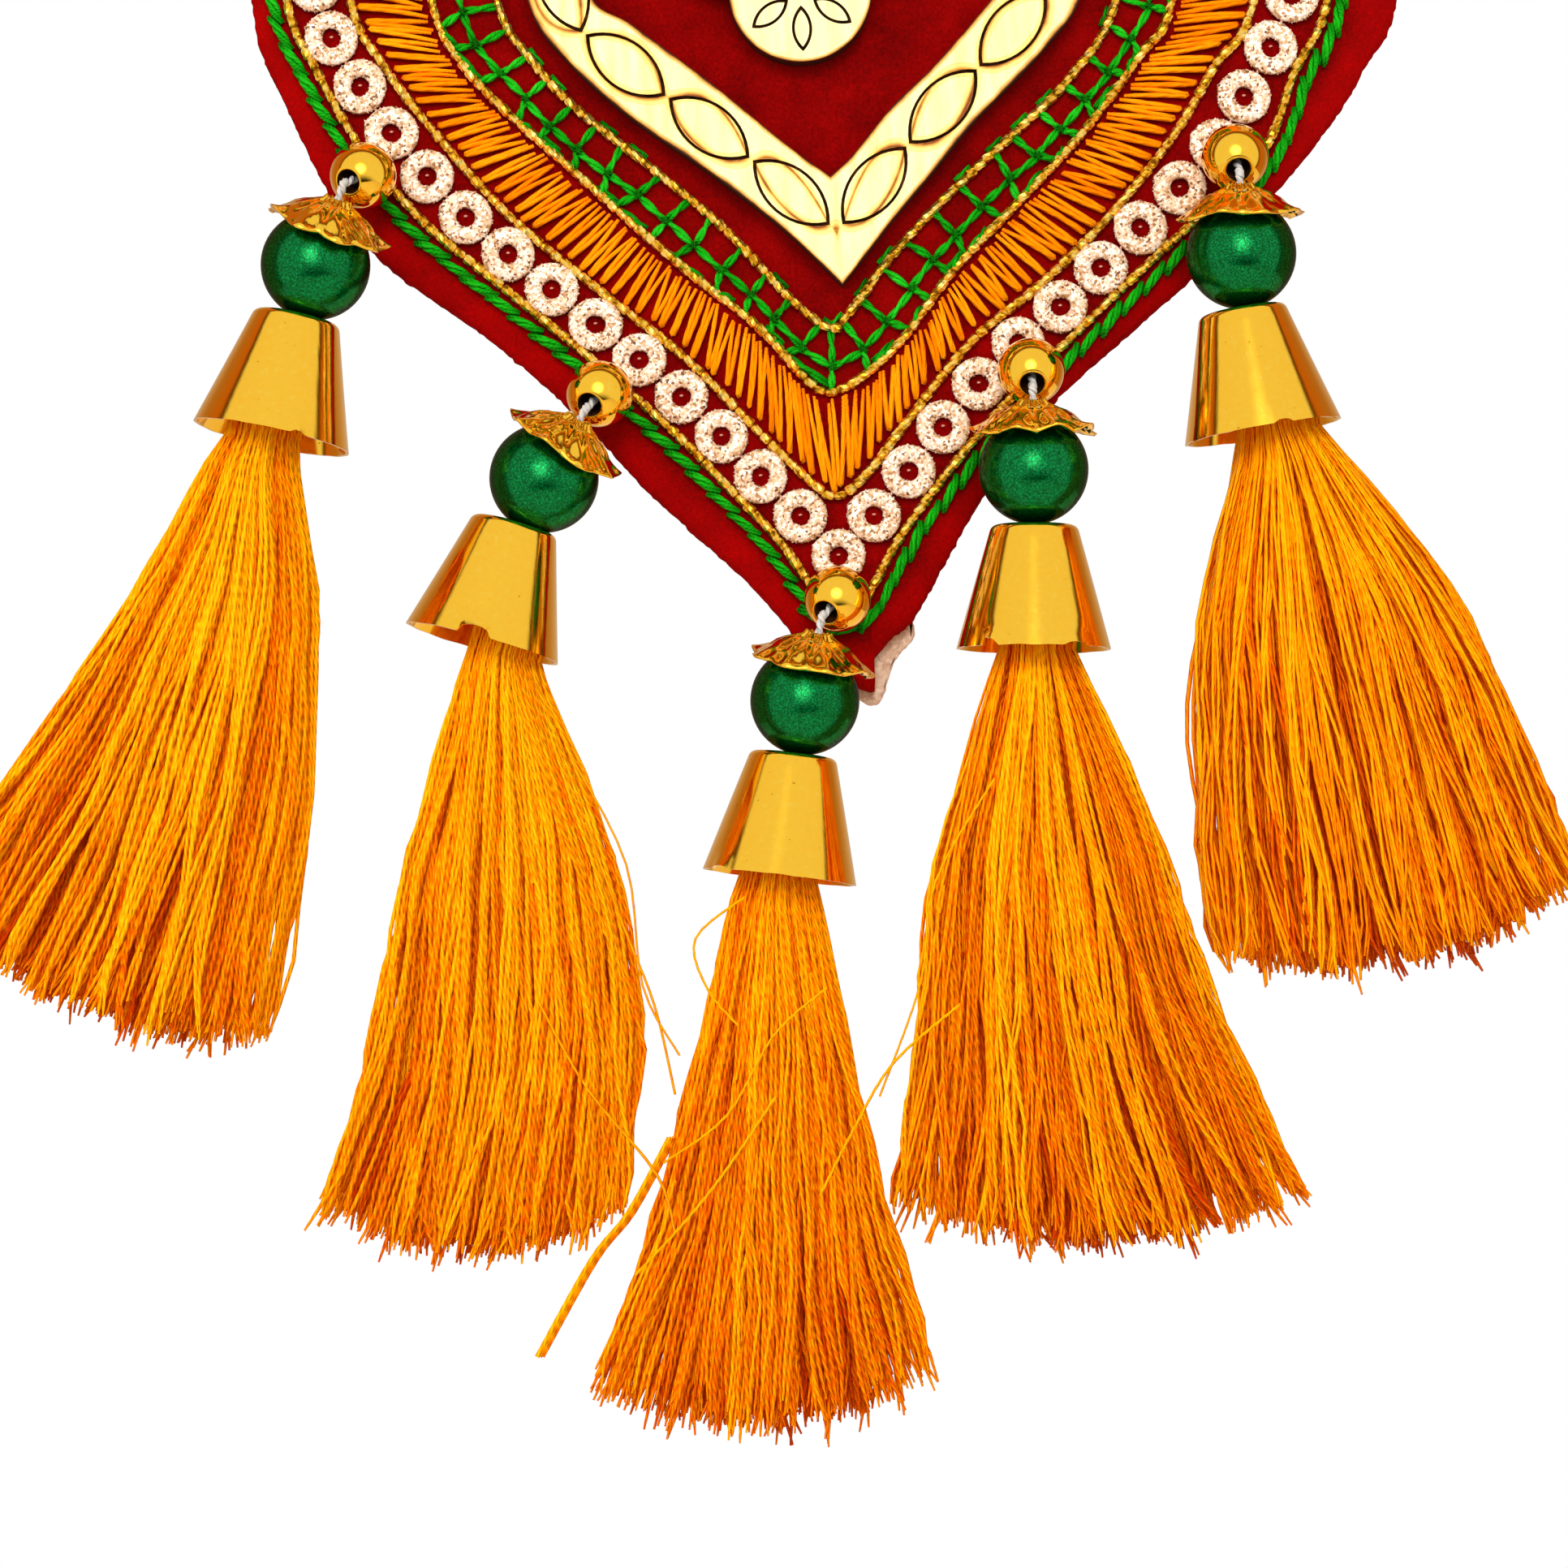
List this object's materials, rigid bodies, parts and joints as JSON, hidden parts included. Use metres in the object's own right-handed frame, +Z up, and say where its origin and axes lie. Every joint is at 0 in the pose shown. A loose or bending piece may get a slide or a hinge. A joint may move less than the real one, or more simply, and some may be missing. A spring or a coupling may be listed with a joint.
{
  "type": "tasselled cloth hanging",
  "caption": "Leaf-shaped velvet hanging with embroidered border, plywood frame and ornament, and beaded thread tassels along its lower edge.",
  "frame": {"origin": "middle of the panel's top edge, on the back plane that lies against a wall", "axes": "+Z up, +Y into the wall, the embroidered face looks along -Y"},
  "size_m": [0.1499, 0.0171, 0.1913],
  "materials": {
    "red_velvet": "short pile",
    "cream_felt": "matte",
    "gold_thread": "metallised twisted cord",
    "green_thread": "satin",
    "rose_glitter": "glitter",
    "orange_thread": "satin",
    "pale_plywood": "laser cut, burnt edges",
    "gold_plastic": "metallised",
    "green_pearl": "pearl coat",
    "white_string": "matte",
    "tassel_thread": "silky"
  },
  "bodies": {
    "root": {"velvet_panel": "red_velvet", "backing_sheet": "cream_felt", "gold_cord_1": "gold_thread", "gold_cord_2": "gold_thread", "gold_cord_3": "gold_thread", "gold_cord_4": "gold_thread", "stem_stitch": "green_thread", "ring_lace": "rose_glitter", "orange_band": "orange_thread", "wood_frame": "pale_plywood", "wood_lotus": "pale_plywood", "bead_1": "gold_plastic", "cap_1": "gold_plastic", "pearl_1": "green_pearl", "cone_1": "gold_plastic", "string_1": "white_string", "thread_1": "tassel_thread", "bead_2": "gold_plastic", "cap_2": "gold_plastic", "pearl_2": "green_pearl", "cone_2": "gold_plastic", "string_2": "white_string", "thread_2": "tassel_thread", "bead_3": "gold_plastic", "cap_3": "gold_plastic", "pearl_3": "green_pearl", "cone_3": "gold_plastic", "string_3": "white_string", "thread_3": "tassel_thread", "bead_4": "gold_plastic", "cap_4": "gold_plastic", "pearl_4": "green_pearl", "cone_4": "gold_plastic", "string_4": "white_string", "thread_4": "tassel_thread", "bead_5": "gold_plastic", "cap_5": "gold_plastic", "pearl_5": "green_pearl", "cone_5": "gold_plastic", "string_5": "white_string", "thread_5": "tassel_thread"}
  },
  "joints": []
}
